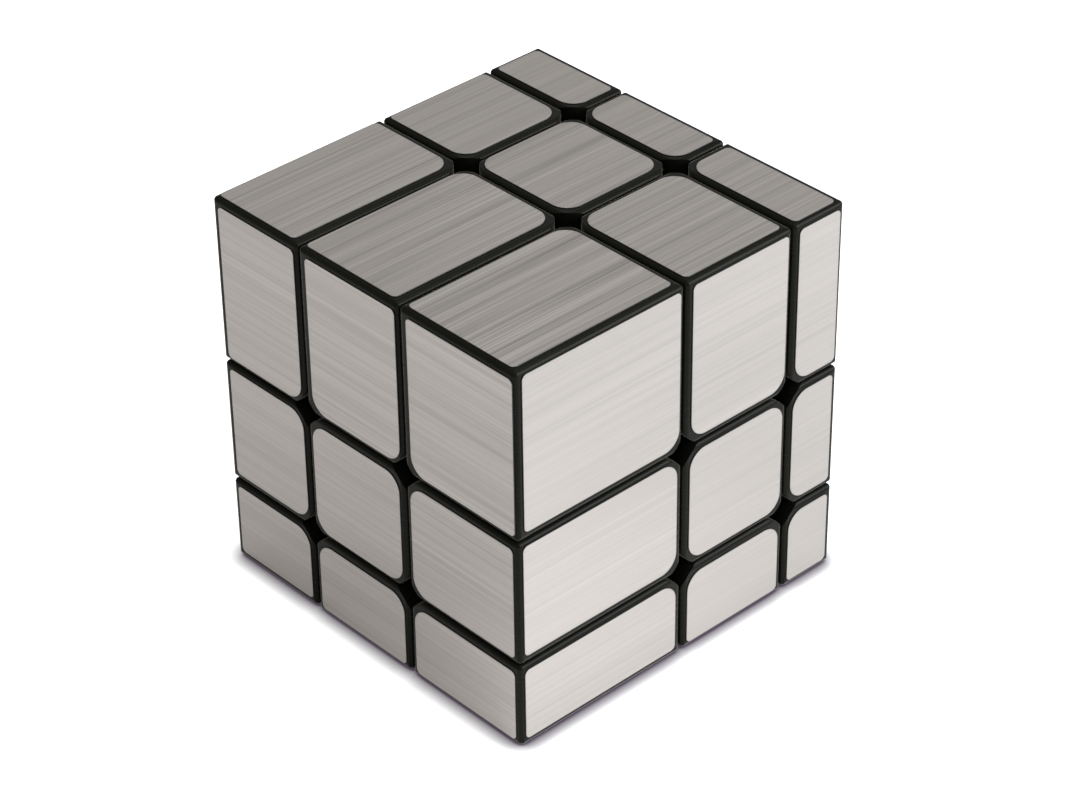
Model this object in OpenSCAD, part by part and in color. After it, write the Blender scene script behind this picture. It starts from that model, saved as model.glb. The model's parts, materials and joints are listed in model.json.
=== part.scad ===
// Shape-shifting 3 x 3 x 3 twisty puzzle cube.
// All middle slices have one thickness and each outer layer has its own, so the turning
// centre sits off the middle of the cube. Every cubie is a hollow body with a cap pressed
// into it, and hooks under its neighbours with a foot that slides on spheres round the core.
// Frame: +X right, +Y back, +Z up; origin under the middle of the cube, on its bottom face.

/* [Layers] */
// Thickness of the three middle slices
slice_w = 19; // [18.6:0.1:20]
// Thickness of the right layer
right_w = 21; // [14:0.5:26]
// Thickness of the left layer
left_w = 17; // [14:0.5:26]
// Thickness of the front layer
front_w = 28.5; // [14:0.5:32]
// Thickness of the back layer
back_w = 9.5; // [9.4:0.1:14]
// Thickness of the top layer
top_w = 25; // [14:0.5:28]
// Thickness of the bottom layer
bottom_w = 13; // [12:0.5:20]

/* [Cubies] */
// Gap between a moving face and the plane or sphere that it slides along
play = 0.15; // [0.1:0.01:0.18]
// Wall of a cubie's hollow body
wall = 1.6; // [1.2:0.1:1.8]
// Thickness of the cap over the open side of a cubie
cap_t = 1.8; // [1.4:0.1:2]
// Depth of the lip under a cap
lip_h = 1.2; // [0.8:0.1:2]
// Gap round the lip of a cap in its body
lip_fit = 0.04; // [0.02:0.01:0.1]
// Radius of the cubie edges that meet four together
cross_r = 3.5; // [2.6:0.1:3.8]
// Radius of every other cubie edge
rim_r = 0.75; // [0.4:0.05:0.85]

/* [Stickers] */
// Thickness of a foil sticker
foil_t = 0.12; // [0.1:0.01:0.3]
// Width of the bare plastic round a sticker
foil_inset = 0.85; // [0.85:0.05:1.2]
// Radius of a sticker's corners along the cube's outer edges
foil_corner_r = 0.8; // [0.4:0.1:1.5]

/* [Core] */
// Length of a core arm, from the turning centre
arm_len = 8.3; // [7:0.1:8.6]
// Radius of a core arm at its end
arm_r = 3; // [2.4:0.1:3.2]
// Radius of the hub that joins the arms
hub_r = 5; // [4:0.1:6]
// Gap between a core arm and the centre piece above it
arm_gap = 0.3; // [0.1:0.05:0.5]
// Thickness of the floor that carries the spring in a centre piece
floor_t = 1.5; // [1.2:0.1:1.8]
// Wall round the spring in a centre piece
stem_wall = 0.75; // [0.6:0.05:1]

/* [Screws and springs] */
// Radius of a screw's shank
screw_r = 1.15; // [0.9:0.05:1.3]
// Length of a screw's shank below its head
screw_len = 11.4; // [9:0.1:12]
// Radius of a screw's head
head_r = 2.3; // [2:0.05:2.4]
// Height of a screw's head
head_h = 1.7; // [1.3:0.1:1.8]
// Width of the cross slot in a screw's head
slot_w = 0.6; // [0.4:0.05:0.8]
// Length of the cross slot in a screw's head
slot_len = 2.8; // [2:0.1:3]
// Radial gap between a screw and the centre piece that turns on it
screw_fit = 0.15; // [0.1:0.05:0.3]
// Thickness of the washer under a screw's head
washer_t = 0.4; // [0.3:0.05:0.5]
// Height of a spring as fitted
spring_h = 4.2; // [3.6:0.1:4.3]
// Thickness of the spring wire
wire_d = 0.55; // [0.4:0.05:0.6]
// Number of turns of a spring
spring_turns = 4; // [3:1:5]

/* [Feet] */
// Radius of the sphere inside the edge feet
foot_r = 11; // [10.5:0.1:11.4]
// Space between the spheres that the edge feet run in
edge_foot_t = 2.5; // [2.2:0.1:2.8]
// Space between the spheres that the corner feet run in
corner_foot_t = 2.5; // [2.2:0.1:2.8]
// Space between the corner feet's outer sphere and the cubies' own sphere
neck_t = 3; // [2.6:0.1:3.2]
// How far an edge foot hooks under a centre piece, gaps included
edge_hook = 1.65; // [1.4:0.05:1.8]
// How far a corner foot hooks under an edge piece, gaps included
corner_hook = 2.2; // [1.8:0.1:2.4]
// Radius to which the points of a corner foot are turned down
corner_foot_r = 5.6; // [4.8:0.1:6]

/* [Hidden] */
$fn = 96;
PLASTIC = "#1c1c1d";
CORE_PLASTIC = "#d8d6cf";
FOIL = "#b4b1ab";
STEEL = "#a9acb0";

// Layer positions, measured from the turning centre
half = slice_w / 2;
reach = [[half + left_w, half + right_w], [half + front_w, half + back_w], [half + bottom_w, half + top_w]];
core_at = [(left_w - right_w) / 2, (front_w - back_w) / 2, bottom_w + half];
far = max([for (side = reach) max(side)]) + cap_t;

// Height of the parts along one screw, from the turning centre
base_z = arm_len + arm_gap;
spring_z = base_z + floor_t;
washer_z = spring_z + spring_h;
head_z = washer_z + washer_t;

// Radii of the spring well and its stem
well_r = head_r + screw_fit;
stem_r = well_r + stem_wall;

// The spheres, and the half-width of the cross-shaped cuts between each pair of them
foot_top_r = foot_r + edge_foot_t;
neck_r = foot_top_r + corner_foot_t;
ball_r = neck_r + neck_t;
edge_foot_half = stem_r + play;
corner_foot_half = edge_foot_half + edge_hook;
neck_half = corner_foot_half + corner_hook;
post_r = neck_half - play;

// Fillers and overlaps that keep joined solids from meeting on a bare edge
overlap = 1;
shave = 0.05;

// Radius of a screw's domed head against the head's own, and of a vertex against the edges there
dome_flatness = 1.7;
vertex_swell = 1.05;

// Share of a corner's neck that its square root hides
root_share = 1 / 6;

// Cubie positions: -1, 0 or 1 along each axis
STEPS = [-1, 0, 1];
SIDES = [-1, 1];
CUBIES = [for (z = STEPS) for (y = STEPS) for (x = STEPS) if (x != 0 || y != 0 || z != 0) [x, y, z]];
CENTRES = [for (p = CUBIES) if (faces(p) == 1) p];
X_NAMES = ["left_", "", "right_"];
Y_NAMES = ["front_", "", "back_"];
Z_NAMES = ["bottom_", "", "top_"];
KINDS = ["", "centre", "edge", "corner"];
LOOSE_NODES = [
    "core", "screws", "springs", "washers",
    "upper_stickers", "middle_stickers", "lower_side_stickers", "bottom_stickers"
];

// Number of outer faces of the cubie at p
function faces(p) = abs(p.x) + abs(p.y) + abs(p.z);
function body_name(p) = str(Z_NAMES[p.z + 1], Y_NAMES[p.y + 1], X_NAMES[p.x + 1], KINDS[faces(p)]);
function cap_name(p) = str(body_name(p), "_cap");

// Where the plastic of cubie p starts and ends along axis a; a centre reaches down to the core
function inner(p) = faces(p) == 1 ? base_z : half + play;
function low(p, a) = p[a] > 0 ? inner(p) : p[a] < 0 ? foil_t - reach[a][0] : play - half;
function high(p, a) = p[a] < 0 ? -inner(p) : p[a] > 0 ? reach[a][1] - foil_t : half - play;

// Is the side s of cubie p along axis a on the outside of the cube?
function outside(p, a, s) = p[a] * s > 0;
function outside_sides(p, s) = len([for (a = [0:2]) if (outside(p, a, s[a])) a]);
function edge_radius(p, a, s, b, t) = outside(p, a, s) || outside(p, b, t) ? rim_r : cross_r;
function foil_radius(p, a, s, b, t) =
    outside(p, a, s) || outside(p, b, t) ? foil_corner_r : cross_r - foil_inset;

// The axis that a cubie's cap closes, and the plane where its cap begins
function cap_axis(p) = p.z != 0 ? 2 : p.x != 0 ? 0 : 1;
function cap_plane(p) = (p[cap_axis(p)] > 0 ? high(p, cap_axis(p)) : -low(p, cap_axis(p))) - cap_t;
function shell_r() = ball_r + play + wall;
function is_hollow(p) = faces(p) > 1 || cap_plane(p) > shell_r() + lip_h;

// Radius of a cone round a corner's diagonal at height t that clears the neck planes
function neck_radius(t) = (t / sqrt(3) - neck_half - play) * sqrt(3 / 2) - shave;

// Turns the axes so that local z runs along axis a
module along(a) {
    turns = [
        [[0, 0, 1, 0], [1, 0, 0, 0], [0, 1, 0, 0]],
        [[0, 1, 0, 0], [0, 0, 1, 0], [1, 0, 0, 0]],
        [[1, 0, 0, 0], [0, 1, 0, 0], [0, 0, 1, 0]]
    ];
    multmatrix(turns[a]) children();
}

// Turns local z to point from the turning centre to cubie p
module facing(p) {
    rotate([0, acos(p.z / norm(p)), atan2(p.y, p.x)]) children();
}

// Box between two corners
module span_box(from, to) {
    translate(from) cube(to - from);
}

// Rectangle with its own radius at each corner, in the order --, +-, ++, -+
module rounded_rectangle(from, to, radii) {
    corners = [from, [to.x, from.y], to, [from.x, to.y]];
    inwards = [[1, 1], [-1, 1], [-1, -1], [1, -1]];
    difference() {
        translate(from) square(to - from);
        for (i = [0:3]) {
            translate(corners[i]) scale([inwards[i].x, inwards[i].y]) difference() {
                translate([-overlap, -overlap]) square(radii[i] + overlap);
                translate([radii[i], radii[i]]) circle(radii[i]);
            }
        }
    }
}

// The cubie's outline seen along axis a, with rounded edges, as a bar longer than the cubie
module block_bar(p, a) {
    b = (a + 1) % 3;
    c = (a + 2) % 3;
    radii = [
        edge_radius(p, b, -1, c, -1), edge_radius(p, b, 1, c, -1),
        edge_radius(p, b, 1, c, 1), edge_radius(p, b, -1, c, 1)
    ];
    along(a) translate([0, 0, low(p, a)])
        linear_extrude(high(p, a) - low(p, a))
            rounded_rectangle([low(p, b), low(p, c)], [high(p, b), high(p, c)], radii);
}

// What is cut from the vertex of cubie p on the sides s to round it
module vertex_cut(p, s) {
    centre = [for (a = [0:2]) s[a] > 0 ? high(p, a) - rim_r : low(p, a) + rim_r];
    vertex = centre + s * (rim_r + overlap);
    from = [for (a = [0:2]) min(centre[a], vertex[a])];
    to = [for (a = [0:2]) max(centre[a], vertex[a])];
    difference() {
        span_box(from, to);
        translate(centre) sphere(rim_r * vertex_swell);
    }
}

// Solid outer form of a cubie, its vertices rounded where two or three of their sides are outside
module block(p) {
    difference() {
        intersection() {
            block_bar(p, 0);
            block_bar(p, 1);
            block_bar(p, 2);
        }
        for (x = SIDES, y = SIDES, z = SIDES)
            if (outside_sides(p, [x, y, z]) > 1) vertex_cut(p, [x, y, z]);
    }
}

// Everything of a cubie beyond the plane where its cap begins, less a margin inside it
module cap_side(p, margin = 0) {
    a = cap_axis(p);
    facing([for (i = [0:2]) i == a ? p[i] : 0])
        translate([-far, -far, cap_plane(p) - margin]) cube([2 * far, 2 * far, 2 * far]);
}

// Inside of a cubie, clear of its walls and of the ball that its foot runs round
module cavity(p, gap = 0) {
    inset = wall + gap;
    open_end = cap_plane(p) + overlap;
    a = cap_axis(p);
    from = [for (i = [0:2]) i == a && p[i] < 0 ? -open_end : low(p, i) + inset];
    to = [for (i = [0:2]) i == a && p[i] > 0 ? open_end : high(p, i) - inset];
    difference() {
        span_box(from, to);
        sphere(shell_r() + gap);
    }
}

// The room that a cubie may fill between two spheres whose cuts are 2 * h wide
module zone(p, h, size) {
    from = [for (v = p) v == 0 ? play - h : v > 0 ? h + play : -size];
    to = [for (v = p) v == 0 ? h - play : v > 0 ? size : -h - play];
    span_box(from, to);
}

module ball_shell(r_in, r_out) {
    difference() {
        sphere(r_out);
        sphere(r_in);
    }
}

// What a ball takes from a piece outside a round post of radius post_r on its axis
module ball_round_post(p, r, post_r) {
    difference() {
        sphere(r + play);
        facing(p) cylinder(r = post_r, h = 2 * r);
    }
}

// The round middle of a centre, up to where its cap begins
module centre_post(p, gap = 0) {
    facing(p) cylinder(r = post_r + gap, h = cap_plane(p));
}

// Foot and conical neck of a corner, turned about its diagonal and cut to its octant
module corner_foot(p) {
    neck_z = neck_r - play;
    root_z = ball_r - play - neck_radius(ball_r) * root_share;
    intersection() {
        facing(p) rotate_extrude() {
            intersection() {
                difference() {
                    circle(neck_r - play);
                    circle(foot_top_r + play);
                }
                square([corner_foot_r, neck_r]);
            }
            polygon([
                [0, foot_top_r + overlap], [neck_radius(neck_z), foot_top_r + overlap],
                [neck_radius(neck_z), neck_z], [neck_radius(root_z), root_z], [0, root_z]
            ]);
        }
        zone(p, corner_foot_half, ball_r);
    }
}

// Curved foot, stem and collar of an edge
module edge_foot(p) {
    intersection() {
        ball_shell(foot_r + play, foot_top_r - play);
        zone(p, edge_foot_half, foot_top_r);
    }
    facing(p) {
        translate([0, 0, foot_r + overlap])
            cylinder(r = edge_foot_half - play - shave, h = ball_r - foot_r);
        translate([0, 0, neck_r + play])
            cylinder(r = corner_foot_half - play - shave, h = ball_r - neck_r);
    }
}

module corner_body(p) {
    color(PLASTIC) {
        difference() {
            block(p);
            cavity(p);
            cap_side(p);
        }
        // Square root that joins the neck to the rounded inner corner
        zone_corner = [for (v = p) v > 0 ? half + play : -half - play - cross_r - overlap];
        translate(zone_corner) cube(cross_r + overlap);
        corner_foot(p);
    }
}

module edge_body(p) {
    color(PLASTIC) {
        difference() {
            block(p);
            cavity(p);
            cap_side(p);
            // Room for the necks and the feet of the two corners beside it
            difference() {
                sphere(ball_r + play);
                zone(p, neck_half, ball_r + overlap);
            }
            difference() {
                sphere(neck_r + play);
                zone(p, corner_foot_half, ball_r);
            }
        }
        edge_foot(p);
    }
}

module centre_body(p) {
    color(PLASTIC) difference() {
        if (is_hollow(p)) {
            block(p);
        } else {
            // A short centre is a round post, and its cap reaches down over it
            intersection() {
                block(p);
                centre_post(p);
            }
        }
        if (is_hollow(p)) cavity(p);
        cap_side(p);
        ball_round_post(p, ball_r, post_r);
        ball_round_post(p, neck_r, corner_foot_half - play);
        ball_round_post(p, foot_top_r, stem_r);
        facing(p) {
            cylinder(r = screw_r + screw_fit, h = far);
            translate([0, 0, spring_z]) cylinder(r = well_r, h = far);
        }
    }
}

module cubie_body(p) {
    if (faces(p) == 1) centre_body(p);
    if (faces(p) == 2) edge_body(p);
    if (faces(p) == 3) corner_body(p);
}

// Plate over the open side of a cubie, with a lip that plugs into it
module plug_cap(p) {
    intersection() {
        block(p);
        cap_side(p);
    }
    intersection() {
        cavity(p, lip_fit);
        cap_side(p, lip_h);
    }
}

// Cap of a short centre, with a skirt round its post
module skirt_cap(p) {
    difference() {
        block(p);
        ball_round_post(p, ball_r, post_r);
        centre_post(p, lip_fit);
    }
}

module cubie_cap(p) {
    color(PLASTIC) {
        if (is_hollow(p)) plug_cap(p);
        if (!is_hollow(p)) skirt_cap(p);
    }
}

// Foil on the face of cubie p across axis a
module sticker(p, a) {
    b = (a + 1) % 3;
    c = (a + 2) % 3;
    from = [low(p, b) + foil_inset, low(p, c) + foil_inset];
    to = [high(p, b) - foil_inset, high(p, c) - foil_inset];
    radii = [
        foil_radius(p, b, -1, c, -1), foil_radius(p, b, 1, c, -1),
        foil_radius(p, b, 1, c, 1), foil_radius(p, b, -1, c, 1)
    ];
    along(a) translate([0, 0, p[a] > 0 ? high(p, a) : low(p, a) - foil_t])
        linear_extrude(foil_t) rounded_rectangle(from, to, radii);
}

// The stickers of one layer on the faces across the listed axes
module layer_stickers(z, axes) {
    color(FOIL)
        for (p = CUBIES) if (p.z == z) for (a = axes) if (p[a] != 0) sticker(p, a);
}

// Hub with six arms, each drilled for a screw
module core() {
    pilot_z = head_z - screw_len - shave;
    color(CORE_PLASTIC) difference() {
        union() {
            sphere(hub_r);
            for (p = CENTRES) facing(p) cylinder(r = arm_r, h = arm_len);
        }
        for (p = CENTRES) facing(p) translate([0, 0, pilot_z]) cylinder(r = screw_r + shave, h = arm_len);
    }
}

// Screw with a domed head, a cross slot and a pointed tip
module screw() {
    dome_r = head_r * dome_flatness;
    tip_z = head_z - screw_len;
    difference() {
        rotate_extrude() {
            polygon([[0, tip_z], [screw_r, tip_z + screw_r], [screw_r, head_z + shave], [0, head_z + shave]]);
            translate([0, head_z]) intersection() {
                square([head_r, head_h]);
                translate([0, head_h - dome_r]) circle(dome_r);
            }
        }
        for (turn = [0, 90]) rotate(turn)
            translate([-slot_len / 2, -slot_w / 2, head_z + head_h / 2]) cube([slot_len, slot_w, head_h]);
    }
}

module washer() {
    translate([0, 0, washer_z]) difference() {
        cylinder(r = head_r, h = washer_t);
        translate([0, 0, -overlap]) cylinder(r = screw_r + screw_fit, h = washer_t + 2 * overlap);
    }
}

// Height of the wire's middle after so many turns: the end turns lie closed, the others open
function closed_pitch() = wire_d + shave;
function coil_rise(turns) =
    let (
        total = spring_h - wire_d,
        open_pitch = (total - 2 * closed_pitch()) / (spring_turns - 2)
    )
    turns < 1 ? turns * closed_pitch()
        : turns > spring_turns - 1 ? total - (spring_turns - turns) * closed_pitch()
        : closed_pitch() + (turns - 1) * open_pitch;

module spring() {
    steps_a_turn = 12;
    sides = 6;
    rings = spring_turns * steps_a_turn;
    coil_r = well_r - screw_fit - wire_d / 2;
    points = [
        for (i = [0:rings], k = [0:sides - 1])
            let (
                turn = i / steps_a_turn * 360,
                side = k / sides * 360,
                r = coil_r + wire_d / 2 * cos(side),
                z = spring_z + wire_d / 2 + coil_rise(i / steps_a_turn) + wire_d / 2 * sin(side)
            )
            [r * cos(turn), r * sin(turn), z]
    ];
    sides_of_wire = [
        for (i = [0:rings - 1], k = [0:sides - 1])
            let (next = (k + 1) % sides)
            [i * sides + k, (i + 1) * sides + k, (i + 1) * sides + next, i * sides + next]
    ];
    first_end = [for (k = [0:sides - 1]) k];
    last_end = [for (k = [sides - 1:-1:0]) rings * sides + k];
    polyhedron(points, concat(sides_of_wire, [first_end, last_end]), convexity = 8);
}

module screws() {
    color(STEEL) for (p = CENTRES) facing(p) screw();
}

module washers() {
    color(STEEL) for (p = CENTRES) facing(p) washer();
}

module springs() {
    color(STEEL) for (p = CENTRES) facing(p) spring();
}

translate(core_at) {
    core();
    screws();
    springs();
    washers();
    layer_stickers(1, [0, 1, 2]);  // upper_stickers
    layer_stickers(0, [0, 1]);  // middle_stickers
    layer_stickers(-1, [0, 1]);  // lower_side_stickers
    layer_stickers(-1, [2]);  // bottom_stickers
    for (p = CUBIES) {
        cubie_body(p);
        cubie_cap(p);
    }
}
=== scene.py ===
"""Dresses the shape-shifting puzzle cube in foil stickers, plastic and steel, in a plain studio.

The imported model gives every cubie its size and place. Lengths are in metres, and `mm` turns
millimetres into them.
"""

import json
import logging
import math
import random
from collections.abc import Iterable, Mapping, Sequence
from dataclasses import dataclass, field
from enum import Enum
from typing import ClassVar

import bmesh
import bpy
from mathutils import Matrix, Vector

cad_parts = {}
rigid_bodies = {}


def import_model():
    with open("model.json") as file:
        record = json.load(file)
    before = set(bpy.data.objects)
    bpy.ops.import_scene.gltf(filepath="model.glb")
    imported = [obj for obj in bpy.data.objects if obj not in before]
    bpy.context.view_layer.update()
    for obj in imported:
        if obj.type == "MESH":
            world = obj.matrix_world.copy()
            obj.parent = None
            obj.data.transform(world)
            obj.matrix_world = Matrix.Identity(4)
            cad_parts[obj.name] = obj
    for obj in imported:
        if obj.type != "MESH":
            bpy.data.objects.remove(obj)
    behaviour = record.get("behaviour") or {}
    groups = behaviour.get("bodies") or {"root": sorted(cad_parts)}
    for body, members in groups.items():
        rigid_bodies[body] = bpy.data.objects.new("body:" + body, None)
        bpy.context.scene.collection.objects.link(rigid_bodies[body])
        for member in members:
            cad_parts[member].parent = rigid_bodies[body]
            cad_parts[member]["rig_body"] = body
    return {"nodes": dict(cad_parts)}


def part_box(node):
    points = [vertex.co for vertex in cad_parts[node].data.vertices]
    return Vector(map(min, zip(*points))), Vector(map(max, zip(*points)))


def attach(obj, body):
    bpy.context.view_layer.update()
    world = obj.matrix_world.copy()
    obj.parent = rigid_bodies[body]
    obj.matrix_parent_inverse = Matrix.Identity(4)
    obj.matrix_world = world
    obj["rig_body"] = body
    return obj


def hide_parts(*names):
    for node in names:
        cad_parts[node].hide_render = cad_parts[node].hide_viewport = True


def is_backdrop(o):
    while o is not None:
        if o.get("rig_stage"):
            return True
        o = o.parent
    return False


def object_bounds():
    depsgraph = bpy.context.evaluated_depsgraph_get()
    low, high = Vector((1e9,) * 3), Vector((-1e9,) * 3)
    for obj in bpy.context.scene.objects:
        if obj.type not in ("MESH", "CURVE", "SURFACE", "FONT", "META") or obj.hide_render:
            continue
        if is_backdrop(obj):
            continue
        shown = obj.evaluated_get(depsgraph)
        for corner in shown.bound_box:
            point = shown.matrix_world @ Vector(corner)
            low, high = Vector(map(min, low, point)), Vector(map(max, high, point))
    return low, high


LOG = logging.getLogger("puzzle_cube")
AXES = (Vector((1, 0, 0)), Vector((0, 1, 0)), Vector((0, 0, 1)))
NOISE_MEAN = 0.5

Triple = tuple[float, float, float]
Colour = Triple
Paint = Colour | bpy.types.NodeSocket
Pair = tuple[float, float]
Span = tuple[float, float]
Operand = "Value | float"


def mm(length: float) -> float:
    """Turns millimetres into metres."""
    return length / 1000.0


# --------------------------------------------------------------------------------------
# Shader maths
# --------------------------------------------------------------------------------------


@dataclass(frozen=True)
class Value:
    """A number socket of a node graph that takes part in Python arithmetic."""

    graph: "NodeGraph"
    socket: bpy.types.NodeSocket

    def _maths(self, operation: str, *operands: Operand) -> "Value":
        """Adds a Math node.

        Args:
            operation: The Math node's operation.
            operands: What goes into its sockets, in order.

        Returns:
            The node's result.
        """
        inputs = dict(enumerate(operands))
        made = self.graph.add("ShaderNodeMath", {"operation": operation}, inputs)
        return Value(self.graph, made.outputs[0])

    def __add__(self, other: Operand) -> "Value":
        """Adds other to this value."""
        return self._maths("ADD", self, other)

    def __sub__(self, other: Operand) -> "Value":
        """Takes other from this value."""
        return self._maths("SUBTRACT", self, other)

    def __rsub__(self, other: Operand) -> "Value":
        """Takes this value from other."""
        return self._maths("SUBTRACT", other, self)

    def __mul__(self, other: Operand) -> "Value":
        """Multiplies this value by other."""
        return self._maths("MULTIPLY", self, other)

    __radd__ = __add__
    __rmul__ = __mul__

    def smooth_step(self, low: float, high: float) -> "Value":
        """Rises smoothly from 0 to 1 between two values.

        Args:
            low: The value that gives 0.
            high: The value that gives 1.

        Returns:
            The step's result.
        """
        settings = {"interpolation_type": "SMOOTHSTEP"}
        made = self.graph.add("ShaderNodeMapRange", settings, {0: self, 1: low, 2: high})
        return Value(self.graph, made.outputs[0])


@dataclass(frozen=True)
class NoiseLayer:
    """One layer of a finish's noise: how fine it is along each axis, how detailed and how strong.

    The stretch gives the cells of noise for each unit of length, and rough how strong each octave
    is beside the one before.
    """

    stretch: Triple
    octaves: float
    rough: float = 0.5
    weight: float = 1.0


@dataclass
class NodeGraph:
    """The node tree of one material or world, with one method that adds nodes."""

    tree: bpy.types.NodeTree

    def add(
        self,
        kind: str,
        settings: Mapping[str, object] | None = None,
        inputs: Mapping[str | int, object] | None = None,
    ) -> bpy.types.Node:
        """Adds a node.

        Args:
            kind: The node's type.
            settings: Attributes that are set before anything is linked.
            inputs: A value or a link for each socket, by name or number.

        Returns:
            The new node.
        """
        node = self.tree.nodes.new(kind)
        for name, setting in (settings or {}).items():
            setattr(node, name, setting)
        for key, given in (inputs or {}).items():
            socket = node.inputs[key]
            source = given.socket if isinstance(given, Value) else given
            if isinstance(source, bpy.types.NodeSocket):
                self.tree.links.new(source, socket)
            else:
                socket.default_value = source
        return node

    def value(self, node: bpy.types.Node, output: str | int = 0) -> Value:
        """Wraps one of a node's outputs for arithmetic."""
        return Value(self, node.outputs[output])

    def colour(self, low: Paint, high: Paint, share: Value) -> bpy.types.NodeSocket:
        """Blends two colours.

        Args:
            low: The colour, or a colour's socket, at share 0.
            high: The same at share 1.
            share: How far to go from low to high.

        Returns:
            The blended colour's socket.
        """
        ends = [(*paint, 1) if isinstance(paint, tuple) else paint for paint in (low, high)]
        mix = self.add("ShaderNodeMix", {"data_type": "RGBA"}, {0: share, 6: ends[0], 7: ends[1]})
        return mix.outputs[2]

    def noise(self, place: bpy.types.NodeSocket, layer: NoiseLayer) -> Value:
        """Reads a noise pattern at a stretched place.

        Args:
            place: The coordinates' socket.
            layer: The pattern. Its weight isn't used here.

        Returns:
            The noise, about NOISE_MEAN on average.
        """
        scaled = self.add("ShaderNodeMapping", None, {"Vector": place, "Scale": layer.stretch})
        inputs = {
            "Vector": scaled.outputs[0],
            "Scale": 1.0,
            "Detail": layer.octaves,
            "Roughness": layer.rough,
        }
        return self.value(self.add("ShaderNodeTexNoise", None, inputs))

    def attribute(self, name: str) -> Value:
        """Reads one of the mesh's own attributes."""
        return self.value(self.add("ShaderNodeAttribute", {"attribute_name": name}), "Fac")

    def bump(self, height: Value, depth: float, strength: float) -> bpy.types.NodeSocket:
        """Turns a height pattern into a normal.

        Args:
            height: The pattern, from 0 to 1.
            depth: How far the surface moves over the pattern, in metres.
            strength: How much of that the normal shows.

        Returns:
            The normal's socket.
        """
        inputs = {"Strength": strength, "Distance": depth, "Height": height}
        return self.add("ShaderNodeBump", None, inputs).outputs[0]


def start_material(name: str) -> tuple[bpy.types.Material, NodeGraph]:
    """Makes an empty node material.

    Args:
        name: The material's name.

    Returns:
        The material and its node graph.
    """
    material = bpy.data.materials.new(name)
    material.use_nodes = True
    material.node_tree.nodes.clear()
    return material, NodeGraph(material.node_tree)


def surface(graph: NodeGraph, inputs: Mapping[str | int, object]) -> None:
    """Ends a material in one Principled shader.

    Args:
        graph: The material's graph.
        inputs: A value or a link for each of the shader's sockets.
    """
    shader = graph.add("ShaderNodeBsdfPrincipled", None, inputs)
    graph.add("ShaderNodeOutputMaterial", None, {"Surface": shader.outputs[0]})


# --------------------------------------------------------------------------------------
# Finishes
# --------------------------------------------------------------------------------------


@dataclass(frozen=True)
class BrushedFoil:
    """Silver foil on plastic film, brushed in one direction, with a faint tarnish along its rims.

    Its layers of noise lie on the streak map: X runs along the brushing, in millimetres.
    """

    light: Colour = (0.56, 0.517, 0.482)
    dark: Colour = (0.20, 0.185, 0.172)
    mean_share: float = 0.66
    fine: NoiseLayer = NoiseLayer((0.02, 5.0, 1.0), 2.0, weight=1.25)
    short: NoiseLayer = NoiseLayer((0.25, 9.0, 1.0), 2.0, rough=0.6, weight=0.25)
    lines: NoiseLayer = NoiseLayer((0.012, 1.7, 1.0), 1.0, weight=0.95)
    bands: NoiseLayer = NoiseLayer((0.01, 0.4, 1.0), 1.0, weight=0.55)
    # Painted glints: sparse specks along the sticker rims that lighten the foil's base colour as
    # painted highlights, with lower roughness there.
    painted_glints: NoiseLayer = NoiseLayer((5.0, 5.0, 1.0), 2.0, weight=0.6)
    painted_glint_limits: Span = (0.66, 0.70)
    painted_glint_shine: float = 0.15
    tarnish: float = 0.08
    cut_edge: Colour = (0.03, 0.03, 0.03)
    cut_edge_limits: Span = (0.85, 1.0)
    metallic: float = 0.6
    roughness: float = 0.38
    roughness_play: float = 0.25
    scratch_depth: float = mm(0.02)
    scratch_strength: float = 0.5

    def material(self) -> bpy.types.Material:
        """Builds the material, which reads the stickers' own streak map and attributes.

        Returns:
            The foil's material.
        """
        material, graph = start_material("brushed_foil")
        place = graph.add("ShaderNodeUVMap", {"uv_map": FoilGroup.STREAK_MAP}).outputs[0]
        contrast = graph.attribute(FoilGroup.CONTRAST)
        rim = graph.attribute(FoilGroup.RIM)

        fine = graph.noise(place, self.fine)
        short = graph.noise(place, self.short)
        lines = graph.noise(place, self.lines)
        bands = graph.noise(place, self.bands)
        streaks = (
            (fine - NOISE_MEAN) * self.fine.weight
            + (short - NOISE_MEAN) * self.short.weight
            + (lines - NOISE_MEAN) * self.lines.weight
            + (bands - NOISE_MEAN) * self.bands.weight
        )
        # Painted highlight: noise specks near the rims brighten the foil colour as glints.
        painted_glints = graph.noise(place, self.painted_glints).smooth_step(*self.painted_glint_limits) * rim
        share = self.mean_share + streaks * contrast
        share = share - rim * self.tarnish + painted_glints * self.painted_glints.weight
        brushed = graph.colour(self.dark, self.light, share)
        inside = 1.0 - rim.smooth_step(*self.cut_edge_limits)
        roughness = self.roughness + (fine - NOISE_MEAN) * self.roughness_play
        scratches = fine * 0.5 + lines * 0.5

        surface(
            graph,
            {
                "Base Color": graph.colour(self.cut_edge, brushed, inside),
                "Metallic": self.metallic,
                "Roughness": roughness - painted_glints * self.painted_glint_shine,
                "Normal": graph.bump(scratches, self.scratch_depth, self.scratch_strength),
            },
        )
        return material


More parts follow.
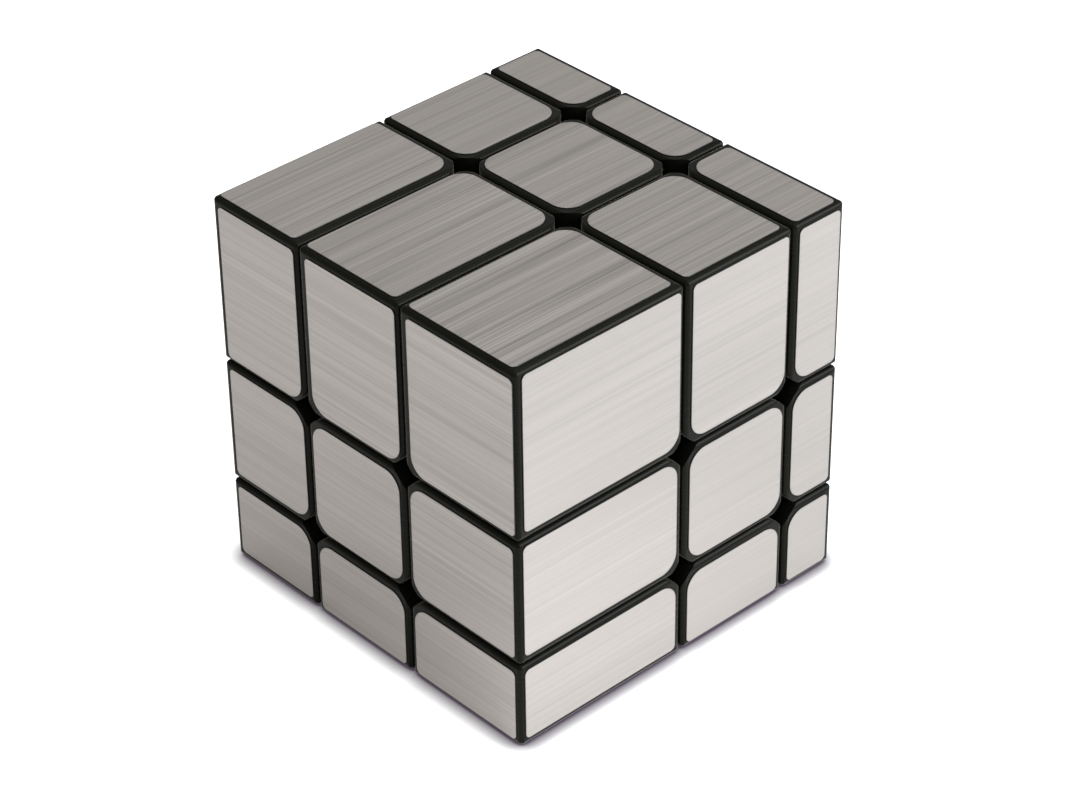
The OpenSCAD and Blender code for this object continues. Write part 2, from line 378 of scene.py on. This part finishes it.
@dataclass(frozen=True)
class MouldedPlastic:
    """Injection-moulded plastic with a faint orange-peel surface and handling scuffs."""

    name: str
    low: Colour
    high: Colour
    roughness: float
    scuff_roughness: float
    gloss: float
    gloss_tint: Colour = (1.0, 1.0, 1.0)
    sheen: float = 0.0
    sheen_roughness: float = 0.3
    clouds: NoiseLayer = NoiseLayer((160.0, 160.0, 160.0), 3.0, weight=0.7)
    cloud_roughness: float = 0.16
    scuffs: NoiseLayer = NoiseLayer((420.0, 420.0, 2400.0), 4.0, rough=0.65, weight=0.5)
    scuff_limits: Span = (0.52, 0.74)
    scuff_depth: float = 0.4
    grain: NoiseLayer = NoiseLayer((2600.0, 2600.0, 2600.0), 2.0)
    grain_depth: float = mm(0.004)
    grain_strength: float = 0.25

    def material(self) -> bpy.types.Material:
        """Builds the material on the piece's own coordinates.

        Returns:
            The plastic's material.
        """
        material, graph = start_material(self.name)
        place = graph.add("ShaderNodeTexCoord").outputs["Object"]
        clouds = graph.noise(place, self.clouds)
        grain = graph.noise(place, self.grain)
        scuffs = graph.noise(place, self.scuffs).smooth_step(*self.scuff_limits)
        share = clouds * self.clouds.weight + scuffs * self.scuffs.weight
        roughness = self.roughness + (clouds - NOISE_MEAN) * self.cloud_roughness
        relief = grain + scuffs * self.scuff_depth
        surface(
            graph,
            {
                "Base Color": graph.colour(self.low, self.high, share),
                "Roughness": roughness + scuffs * self.scuff_roughness,
                "Specular IOR Level": self.gloss,
                "Specular Tint": (*self.gloss_tint, 1.0),
                "Sheen Weight": self.sheen,
                "Sheen Roughness": self.sheen_roughness,
                "Sheen Tint": (*self.gloss_tint, 1.0),
                "Normal": graph.bump(relief, self.grain_depth, self.grain_strength),
            },
        )
        return material


@dataclass(frozen=True)
class TurnedSteel:
    """Bright steel wire and screw stock with fine machining marks."""

    name: str
    low: Colour
    high: Colour
    roughness: float
    stain: NoiseLayer = NoiseLayer((500.0, 500.0, 500.0), 3.0)
    marks: NoiseLayer = NoiseLayer((6000.0, 6000.0, 6000.0), 2.0)
    mark_roughness: float = 0.2
    mark_depth: float = mm(0.003)
    mark_strength: float = 0.2

    def material(self) -> bpy.types.Material:
        """Builds the material on the piece's own coordinates.

        Returns:
            The steel's material.
        """
        material, graph = start_material(self.name)
        place = graph.add("ShaderNodeTexCoord").outputs["Object"]
        marks = graph.noise(place, self.marks)
        stain = graph.noise(place, self.stain)
        surface(
            graph,
            {
                "Base Color": graph.colour(self.low, self.high, stain),
                "Metallic": 1.0,
                "Roughness": self.roughness + (marks - NOISE_MEAN) * self.mark_roughness,
                "Normal": graph.bump(marks, self.mark_depth, self.mark_strength),
            },
        )
        return material


# --------------------------------------------------------------------------------------
# Cubies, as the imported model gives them
# --------------------------------------------------------------------------------------


class Face(Enum):
    """An outer face of the cube.

    Each value gives the axis across the face, its side, and the axis that its foil is brushed
    along.
    """

    LEFT = (0, -1, 1)
    RIGHT = (0, 1, 1)
    FRONT = (1, -1, 0)
    BACK = (1, 1, 0)
    BOTTOM = (2, -1, 1)
    TOP = (2, 1, 1)

    @property
    def axis(self) -> int:
        """The number of the axis across the face."""
        return self.value[0]

    @property
    def side(self) -> int:
        """-1 or 1: which end of that axis the face is at."""
        return self.value[1]

    @property
    def normal(self) -> Vector:
        """The way the face looks."""
        return AXES[self.axis] * self.side

    @property
    def streaks(self) -> Vector:
        """The direction that the foil is brushed in."""
        return AXES[self.value[2]]


@dataclass(frozen=True)
class Slices:
    """Where the cube's three slices across each axis start and end, without their stickers."""

    across: tuple[tuple[Span, Span, Span], ...]

    @classmethod
    def from_frame(cls) -> "Slices":
        """Reads the slices from the caps that span them.

        Returns:
            The slices across X, Y and Z, each from its low side to its high side.
        """

        def span(axis: int, node: str) -> Span:
            """Reads how far a cubie's cap reaches.

            Args:
                axis: The number of the axis to look along.
                node: The cubie's node name.

            Returns:
                Where the cap starts and ends along the axis.
            """
            low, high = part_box(node + "_cap")
            return low[axis], high[axis]

        across_x = ("top_left_edge", "top_centre", "top_right_edge")
        across_y = ("top_front_edge", "top_centre", "top_back_edge")
        x_slices = tuple(span(0, node) for node in across_x)
        y_slices = tuple(span(1, node) for node in across_y)
        gap = x_slices[1][0] - x_slices[0][1]
        middle = span(2, "right_centre")
        bottom = (span(2, "bottom_centre")[0], middle[0] - gap)
        top = (middle[1] + gap, span(2, "top_centre")[1])
        return cls((x_slices, y_slices, (bottom, middle, top)))


@dataclass(frozen=True)
class Cubie:
    """One cubie: the outer faces it shows, its slice across each axis, and its block.

    The block is the part between the cube's outer faces and the seams, without the foot.
    """

    name: str
    faces: tuple[Face, ...]
    steps: tuple[int, int, int]
    low: Vector
    high: Vector

    @classmethod
    def named(cls, name: str, slices: Slices) -> "Cubie":
        """Places a cubie by the faces in its name.

        Args:
            name: The cubie's node name.
            slices: The cube's slices.

        Returns:
            The cubie.
        """
        words = name.split("_")
        faces = tuple(face for face in Face if face.name.lower() in words)
        sides = [sum(face.side for face in faces if face.axis == axis) for axis in range(3)]
        steps = (1 + sides[0], 1 + sides[1], 1 + sides[2])
        lows, highs = zip(*(slices.across[axis][step] for axis, step in enumerate(steps)))
        return cls(name, faces, steps, Vector(lows), Vector(highs))

    @property
    def nearness(self) -> float:
        """How near the cubie is to the front right top corner.

        Returns:
            0 for the farthest corner, up to 1 for the nearest.
        """
        near = {Face.FRONT, Face.RIGHT, Face.TOP}
        far = {Face.BACK, Face.LEFT, Face.BOTTOM}
        lead = len(near.intersection(self.faces)) - len(far.intersection(self.faces))
        return 0.5 + lead / len(Face)

    def outer(self, direction: Vector) -> bool:
        """Whether the cubie shows a face that looks in this direction."""
        return any(face.normal.dot(direction) > 0.5 for face in self.faces)


def cubies_of(nodes: Iterable[str]) -> list[Cubie]:
    """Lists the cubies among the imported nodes.

    Args:
        nodes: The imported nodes' names.

    Returns:
        The cubies, in the order of their names.
    """
    slices = Slices.from_frame()
    names = [name.removesuffix("_cap") for name in sorted(nodes) if name.endswith("_cap")]
    return [Cubie.named(name, slices) for name in names]


# --------------------------------------------------------------------------------------
# Foil stickers
# --------------------------------------------------------------------------------------


@dataclass
class FoilSticker:
    """One die-cut sticker, built flat and then laid on its cubie.

    HAND_LAID gives how far off its square place each sticker of a face was laid, in millimetres
    along the face's two axes. Its rows start from the face's far or upper edge, and each row from
    its low end.
    """

    HAND_LAID: ClassVar[Mapping[Face, Sequence[Sequence[Pair]]]] = {
        Face.TOP: (
            ((0.02, -0.20), (0.00, -0.20), (0.33, -0.22)),
            ((-0.21, -0.21), (-0.22, -0.07), (-0.02, -0.17)),
            ((-0.28, -0.26), (-0.35, -0.14), (-0.15, -0.13)),
        ),
        Face.FRONT: (
            ((0.39, -0.08), (0.51, -0.05), (0.50, -0.08)),
            ((0.35, 0.13), (0.06, -0.12), (0.11, -0.05)),
            ((0.25, 0.20), (0.06, -0.20), (0.00, -0.20)),
        ),
        Face.RIGHT: (
            ((0.13, 0.31), (0.13, 0.13), (0.00, 0.00)),
            ((-0.13, 0.27), (0.03, 0.10), (-0.15, 0.13)),
            ((-0.15, 0.14), (-0.12, -0.15), (-0.13, -0.12)),
        ),
    }

    cubie: Cubie
    face: Face
    inset: float
    thickness: float
    outer_corner_r: float = mm(0.8)
    cross_corner_r: float = mm(2.65)
    rolled_edge: float = mm(0.05)
    rim_band: float = mm(0.35)
    corner_steps: int = 10
    roll_steps: int = 3
    lay_play: float = mm(0.04)
    stock_size: float = 900.0

    def place(self) -> tuple[Matrix, float, float]:
        """Works out where the sticker lies.

        Returns:
            The matrix from flat to laid, and the sticker's length and width.
        """
        along, normal = self.face.streaks, self.face.normal
        across = normal.cross(along)
        low, high = self.cubie.low, self.cubie.high
        centre = (low + high) / 2 + self.lay()
        centre += normal * ((high - low).dot(AXES[self.face.axis]) / 2)
        size = high - low
        length = abs(size.dot(along)) - 2 * self.inset
        width = abs(size.dot(across)) - 2 * self.inset
        turn = Matrix((along, across, normal)).transposed().to_4x4()
        return Matrix.Translation(centre) @ turn, length, width

    def lay(self) -> Vector:
        """Looks up how far off its square place the sticker was laid.

        Returns:
            The way from its square place to where it lies.
        """
        shift = Vector((0, 0, 0))
        if self.face in self.HAND_LAID:
            first, second = (axis for axis in range(3) if axis != self.face.axis)
            row = self.HAND_LAID[self.face][2 - self.cubie.steps[second]]
            shift[first], shift[second] = row[self.cubie.steps[first]]
        return shift * mm(1)

    def corner_radius(self, corner: Vector) -> float:
        """Radius of a corner of the flat sheet, larger where four cubies meet.

        Args:
            corner: Which corner, from the middle of the flat sheet.

        Returns:
            The corner's radius.
        """
        along, normal = self.face.streaks, self.face.normal
        across = normal.cross(along)
        ways = (along * math.copysign(1, corner.x), across * math.copysign(1, corner.y))
        on_edge = any(self.cubie.outer(way) for way in ways)
        return self.outer_corner_r if on_edge else self.cross_corner_r

    def build(self, rng: random.Random, contrast: float) -> bmesh.types.BMesh:
        """Cuts, thickens and lays the sticker.

        Args:
            rng: Where the sticker's small differences come from.
            contrast: How strongly its brushing shows.

        Returns:
            The laid sticker's mesh.
        """
        laid, length, width = self.place()
        sheet = bmesh.new()
        bmesh.ops.create_grid(sheet, x_segments=1, y_segments=1, size=0.5)
        bmesh.ops.scale(sheet, vec=(length, width, 1), verts=sheet.verts)
        for corner, radius in [(v, self.corner_radius(v.co)) for v in sheet.verts]:
            bmesh.ops.bevel(
                sheet,
                geom=[corner],
                offset=radius,
                offset_type="OFFSET",
                affect="VERTICES",
                segments=self.corner_steps,
                profile=0.5,
                material=-1,
            )
        raised = bmesh.ops.extrude_face_region(sheet, geom=sheet.faces[:])["geom"]
        top = [part for part in raised if isinstance(part, bmesh.types.BMVert)]
        bmesh.ops.translate(sheet, vec=(0, 0, self.thickness), verts=top)
        bmesh.ops.recalc_face_normals(sheet, faces=sheet.faces)
        edges = [e for e in sheet.edges if all(v.co.z > self.thickness / 2 for v in e.verts)]
        bmesh.ops.bevel(
            sheet,
            geom=edges,
            offset=self.rolled_edge,
            offset_type="OFFSET",
            affect="EDGES",
            segments=self.roll_steps,
            profile=0.5,
            material=-1,
        )
        self.mark(sheet, rng, contrast)
        nudge = Vector(rng.uniform(-self.lay_play, self.lay_play) for _ in range(2)).to_3d()
        bmesh.ops.transform(sheet, matrix=laid @ Matrix.Translation(nudge), verts=sheet.verts)
        return sheet

    def mark(self, sheet: bmesh.types.BMesh, rng: random.Random, contrast: float) -> None:
        """Gives the flat sheet its rim band, its attributes and its streak map.

        Args:
            sheet: The sheet, thickened and with its edges rolled.
            rng: Where the map's place in the brushed stock comes from.
            contrast: How strongly the brushing shows.
        """
        top = max(sheet.faces, key=lambda face: face.calc_area() * (face.normal.z > 0.5))
        bmesh.ops.inset_region(sheet, faces=[top], thickness=self.rim_band, use_even_offset=True)
        rim = sheet.verts.layers.float.new(FoilGroup.RIM)
        shown = sheet.verts.layers.float.new(FoilGroup.CONTRAST)
        inner = set(top.verts)
        for vertex in sheet.verts:
            vertex[rim] = 0.0 if vertex in inner else 1.0
            vertex[shown] = contrast
        streak_map = sheet.loops.layers.uv.new(FoilGroup.STREAK_MAP)
        start = Vector(rng.uniform(0, self.stock_size) for _ in range(2))
        for part in sheet.faces:
            part.smooth = True
            for loop in part.loops:
                loop[streak_map].uv = loop.vert.co.xy / mm(1) + start


@dataclass
class FoilGroup:
    """The stickers of one layer that ride on one body.

    The contrasts say how strongly each face's brushing shows, from its farthest sticker to its
    nearest.
    """

    STREAK_MAP: ClassVar[str] = "streaks"
    RIM: ClassVar[str] = "rim"
    CONTRAST: ClassVar[str] = "contrast"

    name: str
    node: str
    body: str
    cubies: Sequence[Cubie]
    faces: Sequence[Face]
    inset: float
    thickness: float
    seed: int
    contrasts: Mapping[Face, Span] = field(
        default_factory=lambda: {
            Face.TOP: (0.35, 1.05),
            Face.FRONT: (0.32, 0.62),
            Face.RIGHT: (0.2, 0.29),
            Face.LEFT: (0.3, 0.6),
            Face.BACK: (0.3, 0.6),
            Face.BOTTOM: (0.4, 0.8),
        }
    )

    def build(self, material: bpy.types.Material) -> bpy.types.Object:
        """Builds the group's stickers as one piece.

        Args:
            material: The foil's material.

        Returns:
            The piece, which rides on its body.
        """
        rng = random.Random(self.seed)
        group, loose = bmesh.new(), bpy.data.meshes.new("loose_sticker")
        for cubie in self.cubies:
            for face in self.faces:
                if face in cubie.faces:
                    sticker = FoilSticker(cubie, face, self.inset, self.thickness)
                    faint, strong = self.contrasts[face]
                    sheet = sticker.build(rng, faint + (strong - faint) * cubie.nearness**2)
                    sheet.to_mesh(loose)
                    sheet.free()
                    group.from_mesh(loose)
        mesh = bpy.data.meshes.new(self.name)
        group.to_mesh(mesh)
        group.free()
        bpy.data.meshes.remove(loose)
        mesh.materials.append(material)
        piece = bpy.data.objects.new(self.name, mesh)
        bpy.context.scene.collection.objects.link(piece)
        flatten = piece.modifiers.new("flat_faces_stay_flat", "WEIGHTED_NORMAL")
        flatten.weight = 100
        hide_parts(self.node)
        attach(piece, self.body)
        return piece


# --------------------------------------------------------------------------------------
# The cube
# --------------------------------------------------------------------------------------


@dataclass
class PuzzleCube:
    """The whole cube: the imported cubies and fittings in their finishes, and the foil stickers."""

    nodes: Mapping[str, bpy.types.Object]
    foil: BrushedFoil = BrushedFoil()
    black: MouldedPlastic = MouldedPlastic(
        name="black_plastic",
        low=(0.0055, 0.0057, 0.0043),
        high=(0.0090, 0.0093, 0.0072),
        roughness=0.24,
        scuff_roughness=0.12,
        gloss=0.070,
        gloss_tint=(1.0, 0.95, 0.80),
        sheen=0.3,
    )
    ivory: MouldedPlastic = MouldedPlastic(
        name="core_plastic",
        low=(0.60, 0.58, 0.52),
        high=(0.70, 0.68, 0.62),
        roughness=0.38,
        scuff_roughness=0.08,
        gloss=0.5,
    )
    screw_steel: TurnedSteel = TurnedSteel(
        name="screw_steel",
        low=(0.50, 0.49, 0.47),
        high=(0.62, 0.61, 0.60),
        roughness=0.28,
    )
    spring_steel: TurnedSteel = TurnedSteel(
        name="spring_steel",
        low=(0.40, 0.40, 0.40),
        high=(0.52, 0.52, 0.53),
        roughness=0.24,
    )

    def build(self) -> None:
        """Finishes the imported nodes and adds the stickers."""
        cubies = cubies_of(self.nodes)
        self.finish_fittings()
        self.finish_plastic(cubies)
        self.add_stickers(cubies)

    def dress(self, names: Iterable[str], material: bpy.types.Material) -> None:
        """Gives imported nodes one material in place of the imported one.

        Args:
            names: The nodes' names.
            material: Their material.
        """
        for name in names:
            slots = self.nodes[name].data.materials
            slots.clear()
            slots.append(material)
            LOG.info("finished %s in %s", name, material.name)

    def finish_fittings(self) -> None:
        """Finishes the core and the steel parts on it."""
        screw = self.screw_steel.material()
        self.dress(["core"], self.ivory.material())
        self.dress(["screws", "washers"], screw)
        self.dress(["springs"], self.spring_steel.material())

    def finish_plastic(self, cubies: Iterable[Cubie]) -> None:
        """Finishes every cubie's body and cap in the black plastic."""
        black = self.black.material()
        self.dress((cubie.name + part for cubie in cubies for part in ("", "_cap")), black)

    def add_stickers(self, cubies: Sequence[Cubie]) -> None:
        """Adds the stickers, layer by layer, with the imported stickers' inset and thickness.

        Args:
            cubies: All the cubies.
        """
        material = self.foil.material()
        reference = next(cubie for cubie in cubies if cubie.name == "bottom_front_left_corner")
        packed_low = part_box("bottom_stickers")[0]
        inset = packed_low.x - reference.low.x
        thickness = reference.low.z - packed_low.z
        sides = (Face.LEFT, Face.RIGHT, Face.FRONT, Face.BACK)
        layers = (
            ("upper_top_foils", "upper_stickers", "upper_layer", (Face.TOP,)),
            ("upper_side_foils", "upper_stickers", "upper_layer", sides),
            ("middle_foils", "middle_stickers", "middle_layer", sides),
            ("lower_side_foils", "lower_side_stickers", "lower_layer", sides),
            ("bottom_foils", "bottom_stickers", "lower_layer", (Face.BOTTOM,)),
        )
        for seed, (name, node, body, faces) in enumerate(layers, start=1):
            members = [cubie for cubie in cubies if self.nodes[cubie.name]["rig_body"] == body]
            group = FoilGroup(name, node, body, members, faces, inset, thickness, seed)
            piece = group.build(material)
            LOG.info("added %s with %d faces", piece.name, len(piece.data.polygons))


# --------------------------------------------------------------------------------------
# Studio
# --------------------------------------------------------------------------------------


@dataclass(frozen=True)
class SoftLight:
    """A rectangular soft light that looks at the cube."""

    name: str
    place: Triple
    size: Pair
    power: float
    colour: Colour = (1.0, 1.0, 1.0)

    def build(self, target: Vector) -> None:
        """Hangs the light.

        Args:
            target: The point that it looks at.
        """
        lamp = bpy.data.lights.new(self.name, "AREA")
        lamp.shape = "RECTANGLE"
        lamp.size, lamp.size_y = self.size
        lamp.energy = self.power
        lamp.color = self.colour
        light = bpy.data.objects.new(self.name, lamp)
        light.location = self.place
        light.visible_camera = False
        light.rotation_euler = (target - Vector(self.place)).to_track_quat("-Z", "Y").to_euler()
        bpy.context.scene.collection.objects.link(light)


@dataclass
class Studio:
    """A pale floor, soft lights and a plain grey room.

    The floor has its own contact shadow, narrow and dark, for the camera, and a wide soft shade and
    a pool of light for what mirrors it.
    """

    target: Vector
    floor_size: float = 6.0
    floor_albedo: Colour = (0.85, 0.85, 0.85)
    floor_glow: Colour = (0.82, 0.82, 0.82)
    contact_tint: Colour = (0.06, 0.045, 0.065)
    contact_reach: float = mm(2.5)
    contact_depth: float = 0.74
    shade_reach: float = mm(70)
    shade_depth: float = 0.45
    shade_samples: int = 16
    mirrored_glow: float = 0.60
    pool_centre: Triple = (mm(42), mm(-10), 0.0)
    pool_reach: float = mm(60)
    pool_glow: float = 1.12
    room_low: Colour = (0.475, 0.47, 0.485)
    room_high: Colour = (0.38, 0.38, 0.38)
    room_limits: Span = (0.05, 0.45)
    lights: Sequence[SoftLight] = (
        SoftLight(
            name="right_softbox",
            place=(0.44, 0.31, 0.29),
            size=(0.38, 0.34),
            power=3.38,
            colour=(0.861, 0.924, 1.0),
        ),
        SoftLight(
            name="overhead_softbox",
            place=(0.10, 0.10, 0.80),
            size=(0.7, 0.7),
            power=2.66,
            colour=(1.0, 0.995, 0.96),
        ),
    )

    def build(self) -> None:
        """Builds the floor, the lights and the room."""
        self.lay_floor()
        self.paint_room()
        for light in self.lights:
            light.build(self.target)
        settings = bpy.context.scene.view_settings
        settings.view_transform = "Standard"

    def lay_floor(self) -> None:
        """Lays the floor, which shows white by its own glow and still takes the cube's shadow."""
        mesh = bpy.data.meshes.new("floor")
        sheet = bmesh.new()
        bmesh.ops.create_grid(sheet, x_segments=1, y_segments=1, size=self.floor_size / 2)
        sheet.to_mesh(mesh)
        sheet.free()
        material, graph = start_material("pale_floor")
        rays = graph.add("ShaderNodeLightPath")
        camera = graph.value(rays, "Is Camera Ray")
        mirrored = graph.value(rays, "Is Glossy Ray") + graph.value(rays, "Is Transmission Ray")
        bare = self.openness(graph, self.contact_reach, self.contact_depth)
        dark = (1.0 - bare * bare * bare) * camera
        albedo = graph.colour(self.floor_albedo, self.contact_tint, dark)
        lit = graph.add("ShaderNodeBsdfDiffuse", None, {"Color": albedo})
        shade = self.openness(graph, self.shade_reach, self.shade_depth)
        seen = camera + mirrored * ((self.mirrored_glow + self.pool(graph)) * shade)
        white = graph.colour(self.floor_glow, self.contact_tint, (1.0 - bare) * camera)
        glow = graph.add("ShaderNodeEmission", None, {"Color": white, "Strength": seen})
        both = graph.add("ShaderNodeAddShader", None, {0: lit.outputs[0], 1: glow.outputs[0]})
        graph.add("ShaderNodeOutputMaterial", None, {"Surface": both.outputs[0]})
        mesh.materials.append(material)
        floor = bpy.data.objects.new("floor", mesh)
        bpy.context.scene.collection.objects.link(floor)
        floor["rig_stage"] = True

    def pool(self, graph: NodeGraph) -> Value:
        """Brightens the floor that the right face mirrors, under the softbox.

        Args:
            graph: The floor material's graph.

        Returns:
            What the pool of light adds at a point.
        """
        place = graph.add("ShaderNodeTexCoord").outputs["Object"]
        ends = {0: place, 1: self.pool_centre}
        away = graph.add("ShaderNodeVectorMath", {"operation": "DISTANCE"}, ends)
        near = 1.0 - graph.value(away, "Value").smooth_step(0.0, self.pool_reach)
        return near * self.pool_glow

    def openness(self, graph: NodeGraph, reach: float, depth: float) -> Value:
        """Measures how open the floor is round a point, where a wall's foot hides half the sky.

        Args:
            graph: The floor material's graph.
            reach: How far away the cube still counts.
            depth: How much is lost at the foot of a high wall.

        Returns:
            1 in the open, and 1 - depth at the foot of a wall.
        """
        settings = {"samples": self.shade_samples}
        sky = graph.add("ShaderNodeAmbientOcclusion", settings, {"Distance": reach})
        return 1.0 - (1.0 - graph.value(sky, "AO")) * (2 * depth)

    def paint_room(self) -> None:
        """Paints the room grey, paler towards the horizon."""
        world = bpy.data.worlds.new("room")
        world.use_nodes = True
        world.node_tree.nodes.clear()
        bpy.context.scene.world = world
        graph = NodeGraph(world.node_tree)
        way = graph.add("ShaderNodeTexCoord").outputs["Generated"]
        height = graph.value(graph.add("ShaderNodeSeparateXYZ", None, {0: way}), "Z")
        rise = height.smooth_step(*self.room_limits)
        paint = graph.colour(self.room_low, self.room_high, rise)
        glow = graph.add("ShaderNodeBackground", None, {"Color": paint})
        graph.add("ShaderNodeOutputWorld", None, {"Surface": glow.outputs[0]})


@dataclass
class Viewpoint:
    """The camera: where it stands, how it is turned in degrees, and its lens in millimetres."""

    place: Triple = (mm(272.31), mm(-248.75), mm(278.57))
    azimuth: float = 47.526
    elevation: float = 34.421
    roll: float = -0.87
    lens: float = 114.53
    sensor: float = 36.0
    clip: Span = (mm(5), 20.0)

    def build(self) -> None:
        """Sets the scene's camera."""
        camera = bpy.data.cameras.new("camera")
        camera.lens = self.lens
        camera.sensor_width = self.sensor
        camera.sensor_fit = "HORIZONTAL"
        camera.clip_start, camera.clip_end = self.clip
        stand = bpy.data.objects.new("camera", camera)
        turn = Matrix.Rotation(math.radians(self.azimuth), 4, "Z")
        tilt = Matrix.Rotation(math.radians(90 - self.elevation), 4, "X")
        roll = Matrix.Rotation(math.radians(self.roll), 4, "Z")
        stand.matrix_world = Matrix.Translation(self.place) @ turn @ tilt @ roll
        bpy.context.scene.collection.objects.link(stand)
        bpy.context.scene.camera = stand


def main() -> None:
    """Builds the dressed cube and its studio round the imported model."""
    logging.basicConfig(level=logging.INFO)
    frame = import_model()
    cad_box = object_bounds()
    Viewpoint().build()
    PuzzleCube(frame["nodes"]).build()
    Studio((cad_box[0] + cad_box[1]) / 2).build()


if __name__ == "__main__":
    main()
